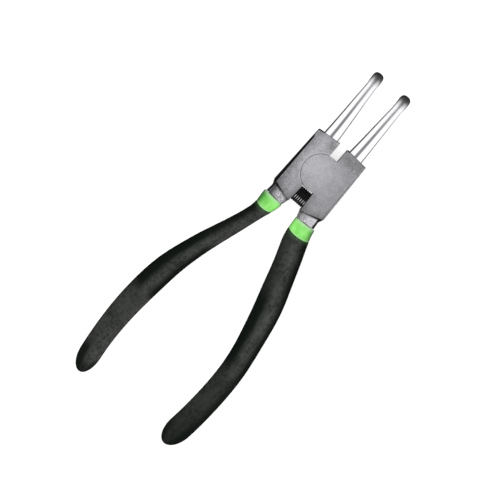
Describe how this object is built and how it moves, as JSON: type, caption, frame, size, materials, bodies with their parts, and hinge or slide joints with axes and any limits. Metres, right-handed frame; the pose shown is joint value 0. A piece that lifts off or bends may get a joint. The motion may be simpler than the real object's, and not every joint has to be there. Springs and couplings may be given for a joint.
{
  "type": "circlip pliers",
  "caption": "Hand pliers for external retaining rings, with lapped sprung levers, tapered prongs bent square at the tips and two-tone soft grips.",
  "frame": {"origin": "on the pivot axis, at the ground back face of the head", "axes": "+Y from the pivot to the jaws, +X to the right lever, +Z along the pivot axis to the front face; the tips point to -Z"},
  "size_m": [0.0632, 0.1779, 0.0193],
  "materials": {
    "lever_steel": "satin ground",
    "spring_black": "blackened",
    "prong_chrome": "polished",
    "tip_steel": "hardened, dull",
    "grip_green": "soft matte",
    "grip_black": "soft matte, fine grain"
  },
  "bodies": {
    "right_half": {"right_lever": "lever_steel", "right_prong": "prong_chrome", "right_tip_pin": "tip_steel", "right_grip_base": "grip_green", "right_grip_sleeve": "grip_black", "pivot_rivet": "lever_steel", "return_spring": "spring_black"},
    "left_half": {"left_lever": "lever_steel", "left_prong": "prong_chrome", "left_tip_pin": "tip_steel", "left_grip_base": "grip_green", "left_grip_sleeve": "grip_black"}
  },
  "joints": [
    {"name": "handle_squeeze", "type": "hinge", "parent": "right_half", "child": "left_half", "pos_m": [0, 0, 0.005], "axis": [0, 0, 1], "range_deg": [0, 16], "stiffness_Nm_per_rad": 1.5, "deforming": ["return_spring"]}
  ]
}
